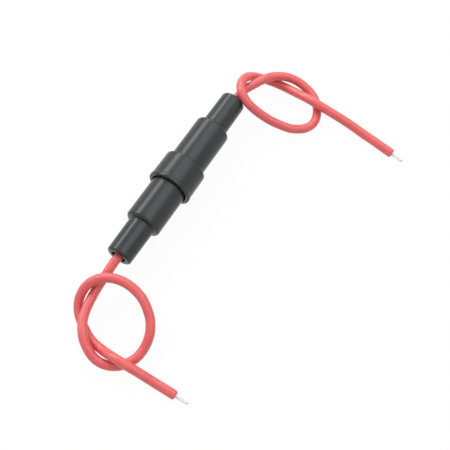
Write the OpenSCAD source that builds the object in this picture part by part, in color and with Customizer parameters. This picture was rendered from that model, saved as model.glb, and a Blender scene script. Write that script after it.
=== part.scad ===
// Inline fuse holder for a 5 x 20 mm glass fuse, screwed together in the middle,
// with a knotted lead on each side. Sizes are in millimetres.
// The axis of the housing lies along X at the height axis_h. The body half is on
// the -X side and the cap half on the +X side, and the part lies on z = 0.

/* [Housing] */
// Length of the screwed-up housing, nose to nose
overall_len = 56; // [50:0.5:64]
// Length of each stepped nose
nose_len = 10.6; // [8:0.1:13]
// Wall of a nose at its tip, round the lead's hole
nose_wall = 1.5; // [1.2:0.1:1.8]
// How much a nose widens from tip to root, on the radius
nose_flare = 0.1; // [0:0.05:0.3]
// Radius of the edge at the nose tip
nose_edge_r = 0.7; // [0.2:0.1:0.9]
// Gap all round the lead where it leaves a nose
lead_gap = 0.75; // [0.4:0.05:1]
// Radius of a barrel's edge at its nose
barrel_edge_r = 0.9; // [0.3:0.1:1.2]
// Hollow fillet between a nose and its barrel
root_fillet_r = 0.35; // [0.2:0.05:0.6]
// Wall between the fuse chamber and the nose step
end_wall = 1.2; // [0.8:0.1:2]
// Gap all round the fuse in its chamber
fuse_gap = 0.5; // [0.3:0.1:0.8]
// Wall of the spigot, from the chamber to the root of the male thread
spigot_wall = 1.2; // [0.9:0.1:1.5]

/* [Screw collar] */
// Collar rim, measured from the middle of the housing towards the body half
rim_offset = 4.8; // [3:0.1:6]
// Length of the collar on the outside
collar_len = 8.5; // [7:0.1:10]
// Wall between the socket's floor and the collar's far edge
collar_end_wall = 0.9; // [0.6:0.1:1.5]
// Depth of the male thread, from the barrel's surface to the thread's root
thread_depth = 0.6; // [0.4:0.05:0.8]
// Gap round the barrel where it enters the socket
rim_gap = 0.2; // [0.1:0.05:0.3]
// Wall of the collar behind its bead
collar_wall = 0.95; // [0.7:0.05:1.4]
// How much the collar narrows from its rim to its far edge, on the radius
collar_taper = 0.1; // [0:0.05:0.3]
// Radius of the collar's far edge
collar_edge_r = 0.6; // [0.2:0.1:1]
// How far the bead stands out round the rim
bead_rise = 0.15; // [0.1:0.05:0.4]
// Width of the bead
bead_w = 1.1; // [0.9:0.1:1.6]
// Radius of the bead's two edges
bead_edge_r = 0.4; // [0.2:0.05:0.4]
// Length of plain barrel inside the socket, ahead of the thread
pilot_len = 1.2; // [0.6:0.1:2]
// Gap between the end of the spigot and the floor of the socket
spigot_end_gap = 0.1; // [0.05:0.05:0.4]

/* [Fuse] */
// Length of the fuse over its end caps
fuse_len = 20; // [18:0.5:22]
// Diameter of the fuse's end caps
fuse_cap_d = 5.2; // [4.8:0.1:5.4]
// Length of one end cap
fuse_cap_len = 5.2; // [4:0.1:7]
// Thickness of an end cap's sheet metal
fuse_cap_t = 0.25; // [0.15:0.05:0.4]
// Wall of the glass tube
glass_wall = 0.5; // [0.3:0.05:0.8]
// Gap between the glass and what it touches inside a cap
glass_gap = 0.05; // [0.02:0.01:0.1]
// Diameter of the fuse element
element_d = 0.3; // [0.15:0.05:0.5]
// Depth of the solder inside an end cap
fuse_solder_t = 1.0; // [0.5:0.1:2]

/* [Contacts] */
// Gap all round a contact's head in the chamber
head_gap = 0.2; // [0.1:0.05:0.3]
// Thickness of a contact's head, rim included
contact_head_t = 1.3; // [1:0.1:2]
// Depth of the seat that takes the fuse's end
seat_depth = 0.5; // [0.2:0.1:0.8]
// Gap round the fuse's end in its seat
seat_gap = 0.1; // [0.05:0.05:0.15]
// Wall of the solder cup behind the head
cup_wall = 0.55; // [0.3:0.05:0.7]
// Room for solder round the conductor in the cup
cup_gap = 0.25; // [0.15:0.05:0.4]
// Length of the solder cup
cup_len = 3.0; // [2:0.1:4]
// Play between the cap half's contact and its shoulder
shoulder_gap = 0.05; // [0.02:0.01:0.2]

/* [Contact spring] */
// Wire diameter of the spring
spring_wire_d = 0.5; // [0.4:0.05:0.6]
// Gap all round the spring in the chamber
spring_gap = 0.4; // [0.3:0.05:0.5]
// Open coils between the closed ends
spring_coils = 6; // [4:1:8]

/* [Leads] */
// Diameter of the lead over its insulation
lead_d = 2.5; // [2:0.1:2.8]
// Diameter of the tinned conductor
conductor_d = 1.0; // [0.8:0.05:1.2]
// Conductor left bare between the solder cup and the insulation
strip_gap = 0.6; // [0.3:0.1:1.2]
// Length of the bare tip at the free end
tip_len = 3.5; // [2:0.5:8]
// Height of the solder's cone on the conductor
solder_cone_h = 0.4; // [0.2:0.1:0.5]
// Thickness of the solder left at the cone's top edge
solder_lip = 0.05; // [0.02:0.01:0.1]

/* [Hidden] */
$fn = 64;

// Diameters, built outwards from the fuse and from the lead's conductor
chamber_d = fuse_cap_d + 2 * fuse_gap;
thread_root_d = chamber_d + 2 * spigot_wall;
barrel_d = thread_root_d + 2 * thread_depth;
socket_d = barrel_d + 2 * rim_gap;
collar_rim_d = socket_d + 2 * collar_wall;
collar_far_d = collar_rim_d - 2 * collar_taper;
bead_d = collar_rim_d + 2 * bead_rise;
lead_hole_d = lead_d + 2 * lead_gap;
nose_tip_d = lead_hole_d + 2 * nose_wall;
nose_root_d = nose_tip_d + 2 * nose_flare;
step_edge_r = min(barrel_edge_r, (barrel_d - nose_root_d) / 2 - root_fillet_r);
mouth_chamfer = 0.3;
axis_h = bead_d / 2;

glass_d = fuse_cap_d - 2 * fuse_cap_t - 2 * glass_gap;
glass_bore_d = glass_d - 2 * glass_wall;
contact_head_d = chamber_d - 2 * head_gap;
seat_d = fuse_cap_d + 2 * seat_gap;
cup_bore_d = conductor_d + 2 * cup_gap;
cup_d = cup_bore_d + 2 * cup_wall;
spring_d = chamber_d - 2 * spring_gap;

// Places along X
half_len = overall_len / 2;
step_x = half_len - nose_len;
shoulder_x = step_x - end_wall;
rim_x = -rim_offset;
collar_far_x = rim_x + collar_len;
socket_floor_x = collar_far_x - collar_end_wall;
pilot_end_x = rim_x + pilot_len;
spigot_end_x = socket_floor_x - spigot_end_gap;

// The fuse stands on the cap half's contact, and the sprung contact closes up to it
fixed_back_x = shoulder_x - shoulder_gap;
fuse_end_x = fixed_back_x - contact_head_t + seat_depth;
fuse_start_x = fuse_end_x - fuse_len;
spring_seat_x = fuse_start_x - contact_head_t + seat_depth;
body_lead_start_x = spring_seat_x - cup_len - strip_gap;
cap_lead_start_x = fixed_back_x + cup_len + strip_gap;

// Route of each lead outside its nose: an open overhand knot and a tail, lying on z = 0
body_route = [
    [-30, 0.1, 6.1], [-32.3, 0.1, 5.7], [-35, 0.3, 4.7], [-38.3, 0.3, 3.9], [-42.9, -0.5, 4],
    [-46.4, -1.8, 4.1], [-49.5, -4.1, 3.9], [-51.5, -7, 3], [-52.3, -9.9, 1.8],
    [-51.8, -12.9, 1.3], [-50.1, -15.6, 1.4], [-47.1, -17.6, 1.6], [-43.9, -18.2, 2.2],
    [-40.5, -17.8, 3.8], [-37.3, -15.9, 5.1], [-34.8, -12.6, 6.8], [-33.7, -9.3, 7.7],
    [-33.6, -5.9, 8.5], [-34.5, -2.3, 8.5], [-36.3, 0.7, 7.4], [-38.8, 2.5, 5.6],
    [-41.6, 2.8, 3.3], [-43.9, 1.7, 1.8], [-46, -0.7, 1.3], [-48.5, -5.1, 1.4],
    [-49.4, -9.4, 1.9], [-50, -13.8, 4], [-50, -17.7, 4.1], [-49.7, -21.4, 2.9],
    [-49.4, -25.8, 1.25], [-49.4, -31.2, 1.25]
];
cap_route = [
    [30, -0.2, 6], [33, -0.4, 5.6], [36.1, -1.5, 5.2], [39.1, -2.9, 5.1], [41.8, -4.3, 4.4],
    [44.1, -7, 3.7], [45.4, -10.3, 2.6], [45.1, -14.2, 1.7], [43.6, -17.4, 1.3],
    [40.8, -19.9, 1.25], [37.1, -21.2, 1.3], [33.8, -20.4, 1.5], [31.1, -17.6, 2.2],
    [29.7, -14.3, 3.3], [28.8, -11, 4.6], [28.2, -7.3, 6.6], [28.4, -4.2, 8.2], [30, -1.4, 9],
    [32.6, 0.4, 8.6], [36.2, 1, 6.8], [39.3, 0.4, 4], [41.2, -1.6, 2.2], [42.2, -4.2, 1.4],
    [42.5, -7.5, 1.4], [42.1, -11.6, 2.1], [41.2, -15.8, 3.5], [40.6, -20, 4.1],
    [40.5, -24.5, 3.6], [40.7, -29.6, 2.4], [40.4, -35.6, 1.25], [39, -44.5, 1.25]
];

shell_colour = [0.22, 0.24, 0.23];
lead_colour = [0.90, 0.30, 0.30];
tinned_colour = [0.78, 0.78, 0.76];
brass_colour = [0.80, 0.66, 0.38];
steel_colour = [0.62, 0.63, 0.65];
glass_colour = [0.85, 0.92, 0.92, 0.4];

// Points of an arc round [cx, cy], from angle a0 to angle a1
function arc(cx, cy, r, a0, a1, steps = 8) =
    [for (i = [0 : steps]) let (a = a0 + (a1 - a0) * i / steps) [cx + r * cos(a), cy + r * sin(a)]];

function reversed(list) = [for (i = [len(list) - 1 : -1 : 0]) list[i]];

// Outline of a nose and its step, as [radius, distance from the middle], from the
// lead hole's chamfer to the barrel
function nose_outline() = concat(
    [[lead_hole_d / 2, half_len - mouth_chamfer], [lead_hole_d / 2 + mouth_chamfer, half_len]],
    arc(nose_tip_d / 2 - nose_edge_r, half_len - nose_edge_r, nose_edge_r, 90, 0),
    arc(nose_root_d / 2 + root_fillet_r, step_x + root_fillet_r, root_fillet_r, 180, 270),
    arc(barrel_d / 2 - step_edge_r, step_x - step_edge_r, step_edge_r, 90, 0)
);

// Outline of the body half's spigot and its chamber
function spigot_outline() = [
    [barrel_d / 2, -pilot_end_x],
    [thread_root_d / 2, -pilot_end_x],
    [thread_root_d / 2, -spigot_end_x + mouth_chamfer],
    [thread_root_d / 2 - mouth_chamfer, -spigot_end_x],
    [chamber_d / 2, -spigot_end_x],
    [chamber_d / 2, shoulder_x],
    [lead_hole_d / 2, shoulder_x]
];

// Outline of the cap half's collar, its socket and its chamber
function collar_outline() = concat(
    [[barrel_d / 2, collar_far_x]],
    arc(collar_far_d / 2 - collar_edge_r, collar_far_x - collar_edge_r, collar_edge_r, 90, 0),
    [[collar_rim_d / 2, rim_x + bead_w]],
    arc(bead_d / 2 - bead_edge_r, rim_x + bead_w - bead_edge_r, bead_edge_r, 45, 0),
    arc(bead_d / 2 - bead_edge_r, rim_x + bead_edge_r, bead_edge_r, 0, -90),
    [
        [socket_d / 2 + mouth_chamfer, rim_x],
        [socket_d / 2, rim_x + mouth_chamfer],
        [socket_d / 2, socket_floor_x],
        [chamber_d / 2, socket_floor_x],
        [chamber_d / 2, shoulder_x],
        [lead_hole_d / 2, shoulder_x]
    ]
);

// Stands what is drawn along Z on the housing's axis, pointing along +X or -X
module on_axis(x = 0, way = 1) {
    translate([x, 0, axis_h]) rotate([0, way * 90, 0]) children();
}

module body_shell() {
    color(shell_colour)
        on_axis(0, -1) rotate_extrude() polygon(concat(nose_outline(), spigot_outline()));
}

module cap_shell() {
    color(shell_colour)
        on_axis(0, 1) rotate_extrude() polygon(concat(nose_outline(), collar_outline()));
}

// A turned contact: a dished head for the fuse's end, and a solder cup behind it.
// Its back is at z = 0 and the head points along +Z.
module contact() {
    difference() {
        union() {
            cylinder(d = contact_head_d, h = contact_head_t);
            translate([0, 0, -cup_len]) cylinder(d = cup_d, h = cup_len + contact_head_t / 2);
        }
        translate([0, 0, contact_head_t - seat_depth]) cylinder(d = seat_d, h = seat_depth + 1);
        translate([0, 0, -cup_len - 1]) cylinder(d = cup_bore_d, h = cup_len + 1);
    }
}

// Solder that fills the cup round the conductor and rises to a cone on it
module contact_solder() {
    difference() {
        union() {
            translate([0, 0, -cup_len]) cylinder(d = cup_bore_d, h = cup_len);
            translate([0, 0, -cup_len - solder_cone_h])
                cylinder(d1 = conductor_d + 2 * solder_lip, d2 = cup_bore_d, h = solder_cone_h);
        }
        translate([0, 0, -cup_len - 1]) cylinder(d = conductor_d, h = cup_len + 2);
    }
}

module spring_contact() {
    color(brass_colour) on_axis(spring_seat_x) contact();
}

module spring_contact_solder() {
    color(tinned_colour) on_axis(spring_seat_x) contact_solder();
}

module fixed_contact() {
    color(brass_colour) on_axis(fixed_back_x, -1) contact();
}

module fixed_contact_solder() {
    color(tinned_colour) on_axis(fixed_back_x, -1) contact_solder();
}

// The direction of a vector, with length 1
function unit(v) = v / norm(v);

// Direction of a path at point i
function along(path, i) =
    unit(path[min(i + 1, len(path) - 1)] - path[max(i - 1, 0)]);

// A side vector carried along the path from point to point, so that the tube doesn't twist
function carried_sides(path, i = 0, side = [0, 0, 1], found = []) =
    i == len(path) ? found :
    let (t = along(path, i), s = unit(side - (side * t) * t))
    carried_sides(path, i + 1, s, concat(found, [s]));

// Corners of the tube's rings, sides corners to a ring
function ring_points(path, r, sides) =
    let (side = carried_sides(path))
    [for (i = [0 : len(path) - 1]) let (t = along(path, i), u = side[i], v = cross(t, u))
        for (k = [0 : sides - 1]) let (a = 360 * (k + 0.5) / sides)
            path[i] + r * (cos(a) * u + sin(a) * v)];

// A round bar of radius r along a path, flat at both ends
module swept_bar(path, r, sides) {
    last = (len(path) - 1) * sides;
    polyhedron(
        points = ring_points(path, r, sides),
        faces = concat(
            [[for (k = [sides - 1 : -1 : 0]) k]],
            [[for (k = [0 : sides - 1]) last + k]],
            [for (i = [0 : len(path) - 2]) for (k = [0 : sides - 1])
                let (a = i * sides + k, b = i * sides + (k + 1) % sides)
                    each [[a, b, b + sides], [a, b + sides, a + sides]]]
        )
    );
}

// Height of the spring's wire after so many turns: a closed turn at each end and
// open coils between them
function spring_rise(turns, length) =
    let (open = length - 3 * spring_wire_d)
    spring_wire_d / 2 + min(turns, 1) * spring_wire_d
        + max(0, min(turns - 1, spring_coils)) * open / spring_coils
        + max(0, turns - 1 - spring_coils) * spring_wire_d;

module contact_spring() {
    length = spring_seat_x + shoulder_x;
    coil_r = (spring_d - spring_wire_d) / 2;
    steps = 14;
    turns = spring_coils + 2;
    path = [for (i = [0 : turns * steps]) let (n = i / steps)
        [coil_r * cos(360 * n), coil_r * sin(360 * n), spring_rise(n, length)]];
    color(steel_colour) on_axis(-shoulder_x) swept_bar(path, spring_wire_d / 2, 6);
}

module fuse_tube() {
    color(glass_colour) on_axis(fuse_start_x + fuse_cap_t) difference() {
        cylinder(d = glass_d, h = fuse_len - 2 * fuse_cap_t);
        translate([0, 0, -1]) cylinder(d = glass_bore_d, h = fuse_len + 2);
    }
}

// A drawn end cap with its floor at z = 0, open along +Z
module fuse_cap() {
    difference() {
        cylinder(d = fuse_cap_d, h = fuse_cap_len);
        translate([0, 0, fuse_cap_t])
            cylinder(d = fuse_cap_d - 2 * fuse_cap_t, h = fuse_cap_len);
    }
}

module fuse_cap_body_end() {
    color(tinned_colour) on_axis(fuse_start_x) fuse_cap();
}

module fuse_cap_cap_end() {
    color(tinned_colour) on_axis(fuse_end_x, -1) fuse_cap();
}

module fuse_solder() {
    translate([0, 0, fuse_cap_t]) cylinder(d = glass_bore_d - 2 * glass_gap, h = fuse_solder_t);
}

module fuse_solder_body_end() {
    color(tinned_colour) on_axis(fuse_start_x) fuse_solder();
}

module fuse_solder_cap_end() {
    color(tinned_colour) on_axis(fuse_end_x, -1) fuse_solder();
}

module fuse_element() {
    inset = fuse_cap_t + fuse_solder_t;
    color(tinned_colour)
        on_axis(fuse_start_x + inset) cylinder(d = element_d, h = fuse_len - 2 * inset);
}

// A lead's insulation: straight through the nose, then along its route
module lead(start_x, nose_x, route) {
    color(lead_colour)
        swept_bar(concat([[start_x, 0, axis_h], [nose_x, 0, axis_h]], route), lead_d / 2, 8);
}

// The bare conductor between the solder cup and the insulation
module lead_conductor(x, way) {
    color(tinned_colour) on_axis(x, way) cylinder(d = conductor_d, h = cup_len + strip_gap);
}

// The bare tip, standing square on the end of the insulation
module lead_tip(route) {
    end = route[len(route) - 1];
    way = unit(end - route[len(route) - 2]);
    turn = atan2(way[1], way[0]);
    tilt = acos(way[2]);
    color(tinned_colour)
        translate(end) rotate([0, tilt, turn]) cylinder(d = conductor_d, h = tip_len);
}

module body_lead() { lead(body_lead_start_x, -half_len, body_route); }
module body_lead_conductor() { lead_conductor(spring_seat_x, -1); }
module body_lead_tip() { lead_tip(body_route); }

module cap_lead() { lead(cap_lead_start_x, half_len, cap_route); }
module cap_lead_conductor() { lead_conductor(fixed_back_x, 1); }
module cap_lead_tip() { lead_tip(cap_route); }

body_shell();
cap_shell();
spring_contact();
spring_contact_solder();
contact_spring();
fixed_contact();
fixed_contact_solder();
fuse_tube();
fuse_element();
fuse_cap_body_end();
fuse_cap_cap_end();
fuse_solder_body_end();
fuse_solder_cap_end();
body_lead();
body_lead_conductor();
body_lead_tip();
cap_lead();
cap_lead_conductor();
cap_lead_tip();
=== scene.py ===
# %% [markdown]
# # An inline fuse holder, dressed for its photograph
# The holder is two black plastic halves that screw together round a small glass fuse.
# A red lead comes out of each nose, tied in one loose knot, and ends in a bare tinned tip.
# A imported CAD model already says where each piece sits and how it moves. This lesson loads
# it, and then makes the surfaces that the camera sees: turned shells, a real screw thread,
# smooth leads, twisted tips, and a finish for each piece. All lengths are in metres.

# %% Load the CAD frame
import math

import bmesh
import bpy
from mathutils import Matrix, Vector


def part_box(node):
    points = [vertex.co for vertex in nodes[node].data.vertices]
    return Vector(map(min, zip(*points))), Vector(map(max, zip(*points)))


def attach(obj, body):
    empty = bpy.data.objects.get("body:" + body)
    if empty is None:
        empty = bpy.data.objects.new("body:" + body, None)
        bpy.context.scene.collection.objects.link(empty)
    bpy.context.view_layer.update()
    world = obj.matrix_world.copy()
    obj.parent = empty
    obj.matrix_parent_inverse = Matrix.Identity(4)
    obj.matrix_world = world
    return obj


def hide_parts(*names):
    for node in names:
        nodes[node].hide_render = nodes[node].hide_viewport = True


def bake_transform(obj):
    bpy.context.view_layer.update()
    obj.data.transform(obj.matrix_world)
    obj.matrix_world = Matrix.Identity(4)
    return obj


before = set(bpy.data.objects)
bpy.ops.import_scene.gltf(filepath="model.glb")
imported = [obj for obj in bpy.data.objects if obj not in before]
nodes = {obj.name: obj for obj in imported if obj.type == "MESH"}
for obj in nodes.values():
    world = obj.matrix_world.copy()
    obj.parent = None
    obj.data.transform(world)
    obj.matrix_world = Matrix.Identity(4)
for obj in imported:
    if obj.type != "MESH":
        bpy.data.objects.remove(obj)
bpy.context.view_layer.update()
MM = 0.001

# %% [markdown]
# ## The camera
# The photograph is a close one: the far knot is drawn smaller than the near one. The
# camera therefore stands only 24 cm away and looks steeply down along the holder, and its
# lens gives the same narrowing. Three directions say how it is turned: what is to its
# right, what is up in the picture, and where it looks. A matrix of those three is easier
# to check than a set of angles.

# %% Stand the camera where the photograph was taken
ELEVATION = math.radians(63.62)
TURN = math.radians(58.15)
DISTANCE = 240.51 * MM
FOCAL_PIXELS = 904.34
PICTURE = 450
AXIS_H = 6.2 * MM
AIM_PIXEL = (178.48, 175.53)

right = Vector((math.cos(TURN), -math.sin(TURN), 0))
level = Vector((math.sin(TURN), math.cos(TURN), 0))
up = level * math.sin(ELEVATION) + Vector((0, 0, math.cos(ELEVATION)))
look = level * math.cos(ELEVATION) - Vector((0, 0, math.sin(ELEVATION)))

aim = Vector((0, 0, AXIS_H))
aside = (AIM_PIXEL[0] - PICTURE / 2) / FOCAL_PIXELS
above = (PICTURE / 2 - AIM_PIXEL[1]) / FOCAL_PIXELS
eye = aim - DISTANCE * (look + right * aside + up * above)

camera = bpy.data.objects.new("photo_camera", bpy.data.cameras.new("photo_camera"))
bpy.context.scene.collection.objects.link(camera)
camera.data.sensor_width = 36
camera.data.lens = FOCAL_PIXELS / PICTURE * 36
camera.data.clip_start = 0.01
camera.data.clip_end = 20
turned = Matrix((right, up, -look)).transposed().to_4x4()
camera.matrix_world = Matrix.Translation(eye) @ turned
bpy.context.scene.camera = camera
print("camera at", [round(x, 4) for x in eye], "lens", round(camera.data.lens, 2))

# %% [markdown]
# ## A way to sweep
# Leads, a spring and bare strands are all one thing: a round bar that follows a line. A
# curve object with a bevel would do it, but rings made here can also round off at the
# ends. Each ring is turned as little as it can be from the ring before, so the bar has no
# twist in it.

# %% Helpers for lines and swept bars
def smooth_line(points, steps):
    """A line through the points, rounded off between them, with so many steps a span."""
    ends = [2 * points[0] - points[1]] + points + [2 * points[-1] - points[-2]]
    line = []
    for i in range(1, len(ends) - 2):
        a, b, c, d = ends[i - 1 : i + 3]
        for k in range(steps):
            t = k / steps
            line.append(
                0.5 * (2 * b + (c - a) * t + (2 * a - 5 * b + 4 * c - d) * t**2
                       + (3 * b - a - 3 * c + d) * t**3)
            )
    return line + [points[-1]]


def length_of(line):
    return sum((b - a).length for a, b in zip(line, line[1:]))


def new_piece(name, points, faces):
    """A mesh object with soft shading, and sharp edges where it really turns."""
    mesh = bpy.data.meshes.new(name)
    mesh.from_pydata([tuple(p) for p in points], [], faces)
    mesh.validate()
    mesh.shade_smooth()
    mesh.set_sharp_from_angle(angle=math.radians(42))
    piece = bpy.data.objects.new(name, mesh)
    bpy.context.scene.collection.objects.link(piece)
    return piece


def swept_bar(name, line, radius, sides, end_round=0.0):
    """A round bar along a line. end_round is the radius that rounds off its two ends."""
    heading = [(line[min(i + 1, len(line) - 1)] - line[max(i - 1, 0)]).normalized()
               for i in range(len(line))]
    side = heading[0].orthogonal().normalized()
    rings = []
    for centre, way in zip(line, heading):
        side = (side - way * side.dot(way)).normalized()
        rings.append((centre, way, side, radius))
    if end_round:
        near, far = rings[0], rings[-1]
        bow = [math.radians(a) for a in (15, 35, 60, 90)]
        first = [(near[0] + near[1] * end_round * (1 - math.sin(a)), near[1], near[2],
                  radius - end_round * (1 - math.cos(a))) for a in bow]
        last = [(far[0] - far[1] * end_round * (1 - math.sin(a)), far[1], far[2],
                 radius - end_round * (1 - math.cos(a))) for a in bow]
        inside = [ring for ring in rings
                  if (ring[0] - near[0]).length > end_round
                  and (ring[0] - far[0]).length > end_round]
        rings = first[::-1] + inside + last
    points, faces = [], []
    for centre, way, across, r in rings:
        other = way.cross(across)
        for k in range(sides):
            a = 2 * math.pi * k / sides
            points.append(centre + r * (math.cos(a) * across + math.sin(a) * other))
    for i in range(len(rings) - 1):
        for k in range(sides):
            a, b = i * sides + k, i * sides + (k + 1) % sides
            faces.append((a, b, b + sides, a + sides))
    faces.append(tuple(reversed(range(sides))))
    faces.append(tuple(range(len(points) - sides, len(points))))
    return new_piece(name, points, faces)


print("a quarter circle of radius 1 mm, swept:",
      round(length_of([Vector((math.cos(a / 20), math.sin(a / 20), 0)) for a in range(32)]), 3))

# %% [markdown]
# ## The two leads
# A lead is hook-up wire: a tinned conductor in a soft red jacket, 2.5 mm thick. Each one
# leaves its nose, ties itself in one open knot, and lies down in a straight tail. The
# knot is a real one: followed from the nose, the lead goes under, over, under, over, under
# and over itself. The route is a list of given points. They are the CAD's own points, and
# the line between them is rounded off, because wire has no corners.

# %% Lay the two leads
LEAD_D = 2.5 * MM

body_points = [
    (-9.05, 0, 6.2), (-14, 0, 6.2), (-20, 0, 6.2), (-25, 0, 6.2), (-28, 0, 6.2),
    (-30, 0.1, 6.1), (-32.3, 0.1, 5.7), (-35, 0.3, 4.7), (-38.3, 0.3, 3.9), (-42.9, -0.5, 4),
    (-46.4, -1.8, 4.1), (-49.5, -4.1, 3.9), (-51.5, -7, 3), (-52.3, -9.9, 1.8),
    (-51.8, -12.9, 1.3), (-50.1, -15.6, 1.4), (-47.1, -17.6, 1.6), (-43.9, -18.2, 2.2),
    (-40.5, -17.8, 3.8), (-37.3, -15.9, 5.1), (-34.8, -12.6, 6.8), (-33.7, -9.3, 7.7),
    (-33.6, -5.9, 8.5), (-34.5, -2.3, 8.5), (-36.3, 0.7, 7.4), (-38.8, 2.5, 5.6),
    (-41.6, 2.8, 3.3), (-43.9, 1.7, 1.8), (-46, -0.7, 1.3), (-48.5, -5.1, 1.4),
    (-49.4, -9.4, 1.9), (-50, -13.8, 4), (-50, -17.7, 4.1), (-49.7, -21.4, 2.9),
    (-49.4, -25.8, 1.25), (-49.4, -31.2, 1.25),
]
cap_points = [
    (19.75, 0, 6.2), (22.5, 0, 6.2), (25, 0, 6.2), (28, 0, 6.2),
    (30, -0.2, 6), (33, -0.4, 5.6), (36.1, -1.5, 5.2), (39.1, -2.9, 5.1), (41.8, -4.3, 4.4),
    (44.1, -7, 3.7), (45.4, -10.3, 2.6), (45.1, -14.2, 1.7), (43.6, -17.4, 1.3),
    (40.8, -19.9, 1.25), (37.1, -21.2, 1.3), (33.8, -20.4, 1.5), (31.1, -17.6, 2.2),
    (29.7, -14.3, 3.3), (28.8, -11, 4.6), (28.2, -7.3, 6.6), (28.4, -4.2, 8.2), (30, -1.4, 9),
    (32.6, 0.4, 8.6), (36.2, 1, 6.8), (39.3, 0.4, 4), (41.2, -1.6, 2.2), (42.2, -4.2, 1.4),
    (42.5, -7.5, 1.4), (42.1, -11.6, 2.1), (41.2, -15.8, 3.5), (40.6, -20, 4.1),
    (40.5, -24.5, 3.6), (40.7, -29.6, 2.4), (40.4, -35.6, 1.25), (39, -44.5, 1.25),
]


def laid(points):
    """The smooth line through a lead's points, which never dips into the floor."""
    line = smooth_line([Vector(p) * MM for p in points], 10)
    return [Vector((p.x, p.y, max(p.z, LEAD_D / 2))) for p in line]


body_line, cap_line = laid(body_points), laid(cap_points)
body_lead = swept_bar("body_lead_jacket", body_line, LEAD_D / 2, 24, end_round=0.5 * MM)
cap_lead = swept_bar("cap_lead_jacket", cap_line, LEAD_D / 2, 24, end_round=0.5 * MM)
print("lead lengths in mm:", round(length_of(body_line) / MM, 1), round(length_of(cap_line) / MM, 1))

# %% [markdown]
# ## The bare tips
# At its free end each lead is stripped, and a bright tip of fine tinned strands stands
# out, twisted by finger and thumb. Seven strands, six round one, pack into a round bundle:
# each is a third of the bundle's width. A slow helix gives them their twist.

# %% Twist the bare tips
TIP_D = 1.0 * MM
TIP_LEN = 3.5 * MM


def twisted_tip(name, line):
    """Seven strands that leave the end of a lead and twist round each other."""
    start, way = line[-1], (line[-1] - line[-2]).normalized()
    side = way.cross(Vector((0, 0, 1))).normalized()
    lift = side.cross(way)
    strand_r = TIP_D / 6.3
    strands = []
    for s in range(7):
        path = []
        for k in range(19):
            t = k / 18
            a = math.radians(60 * s + 200 * t)
            out = 0 if s == 6 else 2 * strand_r * (1 - 0.06 * t)
            short = (0.12 + 0.1 * math.sin(5 * s)) * MM
            path.append(start + way * (t * (TIP_LEN - short) - 0.3 * MM * (1 - t))
                        + out * (math.cos(a) * side + math.sin(a) * lift))
        strands.append(swept_bar(f"{name}_{s}", path, strand_r, 10, end_round=strand_r * 0.5))
    for o in bpy.context.selected_objects:
        o.select_set(False)
    for o in strands:
        o.select_set(True)
    bpy.context.view_layer.objects.active = strands[0]
    bpy.ops.object.join()
    strands[0].name = name
    return strands[0]


body_tip = twisted_tip("body_lead_strands", body_line)
cap_tip = twisted_tip("cap_lead_strands", cap_line)
print("tip faces:", len(body_tip.data.polygons), len(cap_tip.data.polygons))

# %% [markdown]
# ## What the leads belong to
# Each lead moves with the contact that it is soldered to: the body half's lead and its
# tip with the sprung contact, and the cap half's with the fixed one. The CAD's own lead
# and tip are hidden, and the length of lead outside the nose is printed.

for lead, tip, line, body, side, name in (
    (body_lead, body_tip, body_line, "sprung_lead", -1, "body_lead"),
    (cap_lead, cap_tip, cap_line, "fixed_lead", 1, "cap_lead"),
):
    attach(lead, body)
    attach(tip, body)
    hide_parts(name)
    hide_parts(name + "_tip")
    outside = [p for p in line if side * p.x > 28 * MM or p.y < -1 * MM]
    length_of(line)
    print(name, "shows", round(length_of(outside) / MM, 1), "mm outside its nose")

# %% [markdown]
# ## Turned outlines
# Nearly every other piece is round: a mould maker or a lathe made it by turning one
# outline. Each outline here is a short list of corners. A corner has its place along the
# holder, its radius from the axis, and how far it is rounded off. A spin modifier could
# turn it, but with the rings made here the shading can be kept exact at the small edges,
# and those edges are what catches the light on black plastic.

# %% Helpers for turned pieces
def rounded_outline(corners):
    """The corners of a closed outline, each replaced by an arc of its own radius."""
    outline = []
    for i, (x, r, bend) in enumerate(corners):
        here = Vector((x, r))
        before, after = Vector(corners[i - 1][:2]), Vector(corners[(i + 1) % len(corners)][:2])
        back, ahead = (before - here).normalized(), (after - here).normalized()
        corner = back.angle(ahead)
        if bend <= 0 or abs(corner - math.pi) < 0.01:
            outline.append(here)
            continue
        reach = bend / math.tan(corner / 2)
        centre = here + (back + ahead).normalized() * bend / math.sin(corner / 2)
        first, last = here + back * reach - centre, here + ahead * reach - centre
        sweep = first.angle_signed(last)
        steps = max(2, round(abs(math.degrees(sweep)) / 12))
        for k in range(steps + 1):
            a = -sweep * k / steps
            outline.append(centre + Vector((first.x * math.cos(a) - first.y * math.sin(a),
                                            first.x * math.sin(a) + first.y * math.cos(a))))
    return outline


def around(x, r, a):
    """The point at a distance r from the holder's axis, at angle a about +X."""
    return Vector((x, -r * math.sin(a), AXIS_H + r * math.cos(a)))


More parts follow.
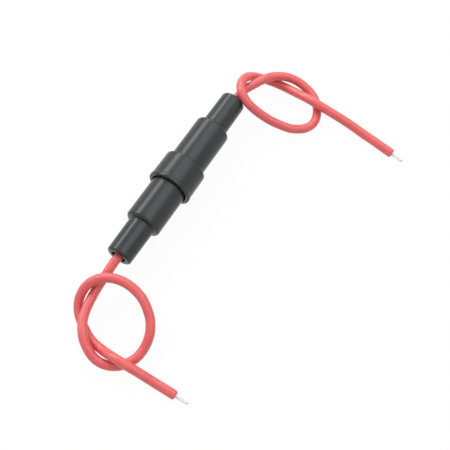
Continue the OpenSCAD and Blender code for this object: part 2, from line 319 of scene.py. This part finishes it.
def turned_piece(name, corners, sides=96):
    """One outline of (x, radius, rounding) in millimetres, turned about the holder's axis."""
    outline = rounded_outline([(x * MM, r * MM, bend * MM) for x, r, bend in corners])
    points, faces, rings = [], [], []
    for spot in outline:
        if spot.y < 1e-7:
            rings.append([len(points)])
            points.append(around(spot.x, 0, 0))
        else:
            rings.append(list(range(len(points), len(points) + sides)))
            points += [around(spot.x, spot.y, 2 * math.pi * k / sides) for k in range(sides)]
    for one, two in zip(rings, rings[1:] + rings[:1]):
        if len(one) == 1 and len(two) == 1:
            continue
        for k in range(sides):
            j = (k + 1) % sides
            face = [one[k % len(one)], one[j % len(one)], two[j % len(two)], two[k % len(two)]]
            faces.append([v for i, v in enumerate(face) if v not in face[:i]])
    piece = new_piece(name, points, faces)
    tidy = bmesh.new()
    tidy.from_mesh(piece.data)
    bmesh.ops.recalc_face_normals(tidy, faces=tidy.faces)
    tidy.to_mesh(piece.data)
    tidy.free()
    weigh = piece.modifiers.new("even_shading", "WEIGHTED_NORMAL")
    weigh.keep_sharp = True
    return piece


print("a rounded square has", len(rounded_outline([(0, 0, 1), (9, 0, 1), (9, 9, 1), (0, 9, 1)])),
      "points")

# %% [markdown]
# ## The two shells
# The body half has a nose, a barrel, and a thinner spigot with the male thread. The cap
# half has the same nose and barrel, and a collar that the spigot screws into. A low bead
# runs round the collar's rim, where a thumb gets its grip. Both are hollow, and the bore
# for the fuse steps down to the lead's hole at a shoulder.

# %% Turn the two shells
body_shell = turned_piece("body_half_shell", [
    (-28, 3.5, 0.7), (-17.4, 3.6, 0.35), (-17.4, 4.9, 0.9), (-3.6, 4.9, 0.12),
    (-3.6, 4.3, 0.1), (2.7, 4.3, 0.3), (2.7, 3.1, 0.15), (-16.2, 3.1, 0.2),
    (-16.2, 2.0, 0.1), (-28, 2.0, 0.3),
])
cap_shell = turned_piece("cap_half_shell", [
    (28, 3.5, 0.7), (17.4, 3.6, 0.35), (17.4, 4.9, 0.9), (3.7, 4.9, 0.12),
    (3.7, 5.95, 0.6), (-3.66, 6.05, 0.3), (-3.84, 6.2, 0.2), (-4.8, 6.2, 0.4),
    (-4.8, 5.1, 0.3), (2.8, 5.1, 0.15), (2.8, 3.1, 0.15), (16.2, 3.1, 0.2),
    (16.2, 2.0, 0.1), (28, 2.0, 0.3),
])
for shell, node, body in ((body_shell, "body_shell", "body_half"), (cap_shell, "cap_shell", "cap_half")):
    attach(shell, body)
    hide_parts(node)
    low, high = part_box(node)
    made = [v.co for v in shell.data.vertices]
    print(node, "differs from its solid by",
          round(max(abs(min(p.x for p in made) - low.x), abs(max(p.x for p in made) - high.x)) / MM, 3), "mm")

# %% [markdown]
# ## The screw thread
# The halves are held by a coarse right-hand thread of 1.5 mm pitch. A thread is a ridge
# that climbs round the axis. The male ridge stands on the spigot and the female one in
# the collar's bore, half a pitch apart, so that each runs in the other's groove. Both
# fade out at their ends, as moulded threads do. It was left out of the solids because it
# is fine, and the halves stay where the joints put them without it.

# %% Wind the male and the female thread
PITCH = 1.5


def thread_ridge(name, x_from, x_to, foot_r, crest_r, shift):
    """A right-hand ridge from foot_r to crest_r, in millimetres, whose ends fade out."""
    per_turn = 72
    count = round((x_to - x_from) / PITCH * per_turn)
    section = [(-0.42, 0.0), (-0.19, 0.85), (-0.13, 1.0), (0.13, 1.0), (0.19, 0.85), (0.42, 0.0)]
    points, faces = [], []
    for i in range(count + 1):
        x = x_from + (x_to - x_from) * i / count
        a = 2 * math.pi * (x - shift) / PITCH
        fade = min(1, i / 14, (count - i) / 14)
        full = math.sin(fade * math.pi / 2)
        sunk = foot_r - (crest_r - foot_r) * 0.12
        for across, height in section:
            r = sunk + (foot_r + (crest_r - foot_r) * full - sunk) * height
            points.append(around((x + across * (0.35 + 0.65 * full)) * MM, r * MM, a))
    wide = len(section)
    for i in range(count):
        for k in range(wide):
            a, b = i * wide + k, i * wide + (k + 1) % wide
            faces.append((a, b, b + wide, a + wide))
    faces.append(tuple(reversed(range(wide))))
    faces.append(tuple(range(len(points) - wide, len(points))))
    ridge = new_piece(name, points, faces)
    tidy = bmesh.new()
    tidy.from_mesh(ridge.data)
    bmesh.ops.recalc_face_normals(tidy, faces=tidy.faces)
    tidy.to_mesh(ridge.data)
    tidy.free()
    return ridge


male_thread = thread_ridge("male_thread", -1.3, 2.1, 4.3, 4.82, 0)
female_thread = thread_ridge("female_thread", -1.3, 2.1, 5.1, 4.58, PITCH / 2)
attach(male_thread, "body_half")
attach(female_thread, "cap_half")
print("turns of thread:", round(3.4 / PITCH, 2))

# %% [markdown]
# ## The contact spring
# A compression spring behind the body half's contact pushes the fuse against the cap
# half's contact. Its wire closes up for one turn at each end, so that it sits square, and
# it is open between. When the halves unscrew the spring lengthens: one end stays on the
# body half's shoulder and the other follows the contact, so the coils are spread over the
# two bodies.

# %% Coil the contact spring
SPRING_FOOT, SPRING_TOP = -16.2, -5.45
WIRE_D, SPRING_D, OPEN_COILS = 0.5, 5.4, 6


def spring_line(per_turn):
    """The wire's line, in metres: one closed turn at each end and open coils between."""
    open_length = SPRING_TOP - SPRING_FOOT - 3 * WIRE_D
    line = []
    for k in range((OPEN_COILS + 2) * per_turn + 1):
        n = k / per_turn
        rise = (WIRE_D / 2 + min(n, 1) * WIRE_D
                + max(0, min(n - 1, OPEN_COILS)) * open_length / OPEN_COILS
                + max(0, n - 1 - OPEN_COILS) * WIRE_D)
        line.append(around((SPRING_FOOT + rise) * MM, (SPRING_D - WIRE_D) / 2 * MM,
                           math.pi - 2 * math.pi * n))
    return line


spring_wire = swept_bar("contact_spring_wire", spring_line(40), WIRE_D / 2 * MM, 12, 0.06 * MM)
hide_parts("contact_spring")
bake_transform(spring_wire)
print("spring wire length in mm:", round(length_of(spring_line(40)) / MM, 1))

# %% [markdown]
# ## The contacts
# Each contact is turned brass: a dished head that holds the end of the fuse, and a small
# cup behind it that the conductor is soldered into. The two are the same part, and face
# each other, so one outline serves both.

# %% Turn the two contacts
def contact_corners(back, way):
    """A contact's outline, with its back at x = back and its head pointing along way."""
    local = [
        (-3.0, 0.75, 0.05), (-3.0, 1.3, 0.12), (0, 1.3, 0.1), (0, 2.9, 0.12),
        (1.3, 2.9, 0.12), (1.3, 2.7, 0.06), (0.8, 2.7, 0.08), (0.8, 0, 0), (0, 0, 0), (0, 0.75, 0),
    ]
    return [(back + way * x, r, bend) for x, r, bend in local]


spring_contact = turned_piece("sprung_contact", contact_corners(-5.45, 1), 72)
fixed_contact = turned_piece("fixed_contact_turned", contact_corners(16.15, -1), 72)
for contact, node, body in ((spring_contact, "spring_contact", "sprung_lead"),
                            (fixed_contact, "fixed_contact", "fixed_lead")):
    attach(contact, body)
    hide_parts(node)
print("contact faces:", len(spring_contact.data.polygons))

# %% [markdown]
# ## The fuse
# The fuse is a glass tube, 5 mm by 20 mm, with a drawn metal cap soldered on each end and
# a fine wire between them. The caps' edges are soft, because they were pressed from sheet,
# and the wire isn't quite straight. The fuse stays with the body half when the cap is
# drawn off.

# %% Turn the fuse and string its wire
fuse_glass = turned_piece("fuse_glass_tube", [
    (-4.4, 1.8, 0.12), (-4.4, 2.3, 0.15), (15.1, 2.3, 0.15), (15.1, 1.8, 0.12),
], 72)


def fuse_cap_corners(end, way):
    """A pressed cap's outline, with its closed end at x = end, open along way."""
    local = [
        (0, 0, 0), (0, 2.6, 0.3), (5.2, 2.6, 0.08), (5.2, 2.35, 0.08), (0.25, 2.35, 0.1),
        (0.25, 0, 0),
    ]
    return [(end + way * x, r, bend) for x, r, bend in local]


body_cap = turned_piece("fuse_cap_sprung", fuse_cap_corners(-4.65, 1), 72)
cap_cap = turned_piece("fuse_cap_fixed", fuse_cap_corners(15.35, -1), 72)
wire_line = smooth_line([
    Vector((x, 0.06 * math.sin(1.1 * x), 6.2 + 0.05 * math.cos(0.8 * x))) * MM
    for x in (-3.4, -1, 1.5, 4, 6.5, 9, 11.5, 14.1)
], 8)
fuse_wire = swept_bar("fuse_wire", wire_line, 0.075 * MM, 10)
for piece, node, slot in (
    (fuse_glass, "fuse_tube", "fuse_glass"), (body_cap, "fuse_cap_body_end", "fuse_cap_metal"),
    (cap_cap, "fuse_cap_cap_end", "fuse_cap_metal"), (fuse_wire, "fuse_element", "solder"),
):
    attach(piece, "sprung_lead")
    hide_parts(node)
print("fuse length over its caps in mm:",
      round(max(v.co.x for v in cap_cap.data.vertices) / MM
            - min(v.co.x for v in body_cap.data.vertices) / MM, 2))

# %% [markdown]
# ## Writing finishes as sums
# A finish is worked out from patterns: a little noise here, a mask there. In the shader
# editor each sum is a node. Here a small class stands for one socket, so that a sum can be
# written as a sum, and the nodes are added behind it. Numbers go to Math nodes, and
# colours and directions to Vector Math, because a Math node would turn a colour grey.

# %% A socket that can be reckoned with
class Reading:
    """One output of a finish's nodes, which +, -, * and / work on."""

    def __init__(self, finish, socket):
        self.finish, self.socket = finish, socket

    def sum_of(self, operation, first, second):
        wide = any(isinstance(v, Reading) and v.socket.type in ("RGBA", "VECTOR")
                   for v in (first, second))
        kind = "ShaderNodeVectorMath" if wide else "ShaderNodeMath"
        parts = [(v, v, v) if wide and isinstance(v, (int, float)) else v for v in (first, second)]
        return self.finish.node(kind, {"operation": operation}, {0: parts[0], 1: parts[1]})

    def __add__(self, other):
        return self.sum_of("ADD", self, other)

    def __sub__(self, other):
        return self.sum_of("SUBTRACT", self, other)

    def __rsub__(self, other):
        return self.sum_of("SUBTRACT", other, self)

    def __mul__(self, other):
        return self.sum_of("MULTIPLY", self, other)

    def __truediv__(self, other):
        return self.sum_of("DIVIDE", self, other)

    def __rtruediv__(self, other):
        return self.sum_of("DIVIDE", other, self)

    def at_most(self, other):
        return self.sum_of("MINIMUM", self, other)

    def at_least(self, other):
        return self.sum_of("MAXIMUM", self, other)

    __radd__, __rmul__ = __add__, __mul__


class Finish:
    """The nodes of one material or world, and the one method that adds a node."""

    def __init__(self, owner):
        owner.use_nodes = True
        self.owner, self.tree = owner, owner.node_tree

    def node(self, kind, settings=None, sockets=None, out=0):
        made = self.tree.nodes.new(kind)
        for name, value in (settings or {}).items():
            if name == "stops":
                for i, (place, shade) in enumerate(value):
                    stops = made.color_ramp.elements
                    stop = stops[i] if i < len(stops) else stops.new(place)
                    stop.position, stop.color = place, (shade, shade, shade, 1)
            else:
                setattr(made, name, value)
        for name, value in (sockets or {}).items():
            self.feed(made.inputs[name], value)
        return Reading(self, made.outputs[out])

    def feed(self, socket, value):
        if isinstance(value, Reading):
            self.tree.links.new(value.socket, socket)
        else:
            socket.default_value = value

    def surface(self, **sockets):
        shader = next(n for n in self.tree.nodes if n.type == "BSDF_PRINCIPLED")
        for name, value in sockets.items():
            self.feed(shader.inputs[name.replace("_", " ")], value)

    def tint(self, share, one, other):
        """A colour between two, by a share from 0 to 1."""
        return self.node("ShaderNodeMix", {"data_type": "RGBA"},
                         {"Factor": share, 6: (*one, 1), 7: (*other, 1)}, out=2)


print("numbers use Math nodes, colours and directions use Vector Math")

# %% [markdown]
# ## Black plastic
# The shells are moulded in a hard black plastic with a little green-grey in it. The mould
# was finely blasted, so the surface has a faint grain that softens the highlight, and
# handling has left it a touch smoother here and duller there. Three noises do this: a fine
# one for the grain's bumps, a broad one for the sheen, and one drawn out lengthwise for
# faint rubs. A plastic this black would look grey if it shone like glass, so its specular
# level is set lower than usual, as the same number all over.

# %% Finish the shells and the thread
def position(finish):
    """Where a point of the surface is, in millimetres, so that patterns are true to size."""
    return finish.node("ShaderNodeTexCoord", out="Object") * 1000


def cloud(finish, where, scale, detail=2.0, stretch=(1, 1, 1)):
    """Soft noise from 0 to 1, with so many lumps to a millimetre."""
    shift = finish.node("ShaderNodeVectorMath", {"operation": "MULTIPLY"}, {0: where, 1: stretch})
    return finish.node("ShaderNodeTexNoise", {}, {"Vector": shift, "Scale": scale, "Detail": detail})


def ramp(finish, value, *stops):
    """The value put through a ramp of (place, shade) stops."""
    return finish.node("ShaderNodeValToRGB", {"stops": stops}, {"Fac": value})


def bumps(finish, height, strength, distance, under=None):
    """A surface that rises by up to distance, in metres, where height is 1."""
    sockets = {"Strength": strength, "Distance": distance, "Height": height}
    if under:
        sockets["Normal"] = under
    return finish.node("ShaderNodeBump", {}, sockets)


def black_plastic(name, drift):
    """Blasted black plastic; drift moves the patterns, so that no two pieces match."""
    finish = Finish(bpy.data.materials.new(name))
    where = position(finish) + (drift, 0, 0)
    broad = cloud(finish, where, 0.16, 3)
    rubs = ramp(finish, cloud(finish, where, 0.9, 3, (0.12, 1, 1)), (0.56, 0), (0.72, 1))
    grain = cloud(finish, where, 5.5, 2)
    shade = broad * 0.5 + rubs * 0.12 + grain * 0.12
    finish.surface(
        Base_Color=finish.tint(shade, (0.0125, 0.0165, 0.0163), (0.028, 0.037, 0.035)),
        Roughness=broad * 0.08 - rubs * 0.03 + 0.24,
        Specular_IOR_Level=0.37,
        Normal=bumps(finish, grain, 0.03, 0.01 * MM),
    )
    return finish.owner


def dress(piece, material):
    piece.data.materials.clear()
    piece.data.materials.append(material)


dress(body_shell, black_plastic("body_shell_plastic", 0))
dress(cap_shell, black_plastic("cap_shell_plastic", 37))
dress(male_thread, body_shell.data.materials[0])
dress(female_thread, cap_shell.data.materials[0])
print("shell finishes:", body_shell.data.materials[0].name, cap_shell.data.materials[0].name)

# %% [markdown]
# ## Red jacket
# The jacket is soft red vinyl with a waxy shine. It was drawn over a twisted conductor, so
# the strands press very faint waves into it, and it has fine marks from handling. Noise
# gives both: broad for the colour, fine for the bumps. Light also goes a little way into
# such vinyl and comes out beside where it went in, which softens the shadow side of a lead.
# A share of subsurface scattering does that, and red goes deepest. The wax lies on top as
# a thin dull coat, which pales the colour where the surface turns away from the eye.

# %% Finish the leads
def red_vinyl(name, drift):
    """Soft red lead jacket."""
    finish = Finish(bpy.data.materials.new(name))
    where = position(finish) + (0, drift, 0)
    broad = cloud(finish, where, 0.22, 3)
    fine = cloud(finish, where, 2.2, 4)
    specks = ramp(finish, cloud(finish, where, 6.0, 2), (0.66, 0), (0.74, 1))
    shade = broad * 0.7 + fine * 0.3
    finish.surface(
        Base_Color=finish.tint(shade, (0.60, 0.074, 0.076), (0.70, 0.112, 0.110)),
        Roughness=fine * 0.16 + specks * 0.08 + 0.38,
        Subsurface_Weight=0.4, Subsurface_Radius=(1.0, 0.25, 0.2), Subsurface_Scale=1.2 * MM,
        Coat_Weight=0.4, Coat_Roughness=0.3,
        Normal=bumps(finish, broad + fine * 0.2, 0.15, 0.06 * MM),
    )
    return finish.owner


dress(body_lead, red_vinyl("body_lead_vinyl", 0))
dress(cap_lead, red_vinyl("cap_lead_vinyl", 53))
print("jacket finishes:", body_lead.data.materials[0].name, cap_lead.data.materials[0].name)

# %% [markdown]
# ## Metals, solder and glass
# The metals differ in colour, in how sharp their shine is, and in what was done to them.
# Turned brass has rings from the tool. Solder froze, so it is lumpy. Pressed nickel-plated
# caps are nearly mirrors with a few fingermarks. Tinned strands are dull and pale. One
# function takes these four things, and each node still gets a material of its own.

# %% Finish the metal pieces and the glass
def metal(name, dark, light, rough, lumps, lump_size, rings=0.0, drift=0.0):
    """Bare metal between two colours. rings is the strength of turning marks."""
    finish = Finish(bpy.data.materials.new(name))
    where = position(finish) + (drift, drift, 0)
    tarnish = cloud(finish, where, 0.5, 4)
    lump = cloud(finish, where, lump_size, 3)
    turning = finish.node("ShaderNodeTexWave", {"bands_direction": "X"},
                          {"Vector": where, "Scale": 2.4, "Distortion": 0.6})
    finish.surface(
        Base_Color=finish.tint(tarnish, dark, light),
        Metallic=1.0,
        Roughness=tarnish * 0.14 + lump * 0.08 + rough,
        Normal=bumps(finish, lump * lumps + turning * rings, 0.3, 0.03 * MM),
    )
    return finish.owner


TIN_DARK, TIN_LIGHT = (0.60, 0.59, 0.56), (0.82, 0.81, 0.78)
SOLDER_DARK, SOLDER_LIGHT = (0.50, 0.50, 0.50), (0.74, 0.74, 0.73)
BRASS_DARK, BRASS_LIGHT = (0.62, 0.45, 0.18), (0.84, 0.67, 0.33)
NICKEL_DARK, NICKEL_LIGHT = (0.66, 0.64, 0.60), (0.85, 0.83, 0.79)
STEEL_DARK, STEEL_LIGHT = (0.42, 0.43, 0.44), (0.66, 0.67, 0.68)

dress(body_tip, metal("body_tip_tin", TIN_DARK, TIN_LIGHT, 0.40, 0.2, 3, drift=1))
dress(cap_tip, metal("cap_tip_tin", TIN_DARK, TIN_LIGHT, 0.40, 0.2, 3, drift=2))
dress(spring_contact, metal("sprung_contact_brass", BRASS_DARK, BRASS_LIGHT, 0.2, 0.1, 2, 0.5, 3))
dress(fixed_contact, metal("fixed_contact_brass", BRASS_DARK, BRASS_LIGHT, 0.2, 0.1, 2, 0.5, 4))
dress(body_cap, metal("sprung_end_nickel", NICKEL_DARK, NICKEL_LIGHT, 0.1, 0.2, 0.6, drift=5))
dress(cap_cap, metal("fixed_end_nickel", NICKEL_DARK, NICKEL_LIGHT, 0.1, 0.2, 0.6, drift=6))
dress(spring_wire, metal("spring_wire_steel", STEEL_DARK, STEEL_LIGHT, 0.22, 0.3, 2.5, drift=7))
dress(fuse_wire, metal("fuse_wire_tin", TIN_DARK, TIN_LIGHT, 0.25, 0.3, 4, drift=8))

for i, node in enumerate(("spring_contact_solder", "fixed_contact_solder",
                          "fuse_solder_body_end", "fuse_solder_cap_end")):
    dress(nodes[node], metal(node + "_tin", SOLDER_DARK, SOLDER_LIGHT, 0.3, 1.0, 1.4, drift=10 + i))
for i, node in enumerate(("body_lead_conductor", "cap_lead_conductor")):
    dress(nodes[node], metal(node + "_tin", TIN_DARK, TIN_LIGHT, 0.28, 0.5, 3, drift=20 + i))

glass = Finish(bpy.data.materials.new("fuse_glass_clear"))
smear = cloud(glass, position(glass), 0.4, 2)
glass.surface(Base_Color=(0.85, 0.92, 0.90, 1), Roughness=smear * 0.05 + 0.01,
              Transmission_Weight=1.0, IOR=1.5)
dress(fuse_glass, glass.owner)
print("materials:", len(bpy.data.materials))

# %% [markdown]
# ## Floor and light
# The photograph has no room in it: the holder lies on white under broad soft light. The
# floor is a plain sheet that the camera, and any shiny surface, sees as nearly white, and
# that keeps a share of its real shading, so that the holder's soft shadow stays. A round
# bar mirrors a lamp as a line along its side, and where that line lies tells where the lamp
# stood. The barrels show two: a narrow one high on the far side, which a long strip beyond
# the holder gives, and a wide pale one along the top, which a big panel overhead gives. The
# world gives the rest as even light, so that the side away from the lamps isn't dark.

# %% Lay the floor and hang the lamps
floor_mesh = bpy.data.meshes.new("floor")
floor_mesh.from_pydata([(-2, -2, 0), (2, -2, 0), (2, 2, 0), (-2, 2, 0)], [], [(0, 1, 2, 3)])
floor = bpy.data.objects.new("floor", floor_mesh)
bpy.context.scene.collection.objects.link(floor)


def seen_directly(finish):
    """1 for a ray from the camera, or one that gloss or glass sends on, and 0 for others."""
    ray = finish.node("ShaderNodeLightPath", out="Is Camera Ray")
    sources = ray.socket.node.outputs
    glossy, through = (Reading(finish, sources[n])
                       for n in ("Is Glossy Ray", "Is Transmission Ray"))
    return ray.at_least(glossy).at_least(through)


paper = Finish(bpy.data.materials.new("floor_paper"))
sheet = paper.node("ShaderNodeBsdfDiffuse", {}, {"Color": (0.80, 0.80, 0.80, 1)})
glow = paper.node("ShaderNodeEmission", {}, {"Color": (1, 1, 1, 1), "Strength": 1.0})
mixed = paper.node("ShaderNodeMixShader", {}, {0: seen_directly(paper) * 0.94, 1: sheet, 2: glow})
out = next(n for n in paper.tree.nodes if n.type == "OUTPUT_MATERIAL")
paper.feed(out.inputs["Surface"], mixed)
dress(floor, paper.owner)

world = bpy.data.worlds.new("studio")
bpy.context.scene.world = world
sky = Finish(world)
plain = sky.node("ShaderNodeBackground", {}, {"Color": (1, 1, 1, 1), "Strength": 0.68})
white = sky.node("ShaderNodeBackground", {}, {"Color": (1, 1, 1, 1), "Strength": 1.0})
both = sky.node("ShaderNodeMixShader", {}, {0: seen_directly(sky), 1: plain, 2: white})
sky_out = next(n for n in sky.tree.nodes if n.type == "OUTPUT_WORLD")
sky.feed(sky_out.inputs["Surface"], both)


def lamp(name, place, wide, tall, watts):
    """A soft rectangular lamp that faces the middle of the holder."""
    light = bpy.data.lights.new(name, "AREA")
    light.shape, light.size, light.size_y, light.energy = "RECTANGLE", wide, tall, watts
    hung = bpy.data.objects.new(name, light)
    hung.location = Vector(place)
    hung.rotation_euler = (Vector((0, 0, 0)) - Vector(place)).to_track_quat("-Z", "Y").to_euler()
    bpy.context.scene.collection.objects.link(hung)
    return hung


lamp("long_soft_lamp", (0.29, 0.57, 0.52), 1.20, 0.26, 5.8)
lamp("overhead_panel", (0.32, -0.28, 0.80), 1.10, 0.55, 3.3)
bpy.context.scene.view_settings.view_transform = "Standard"
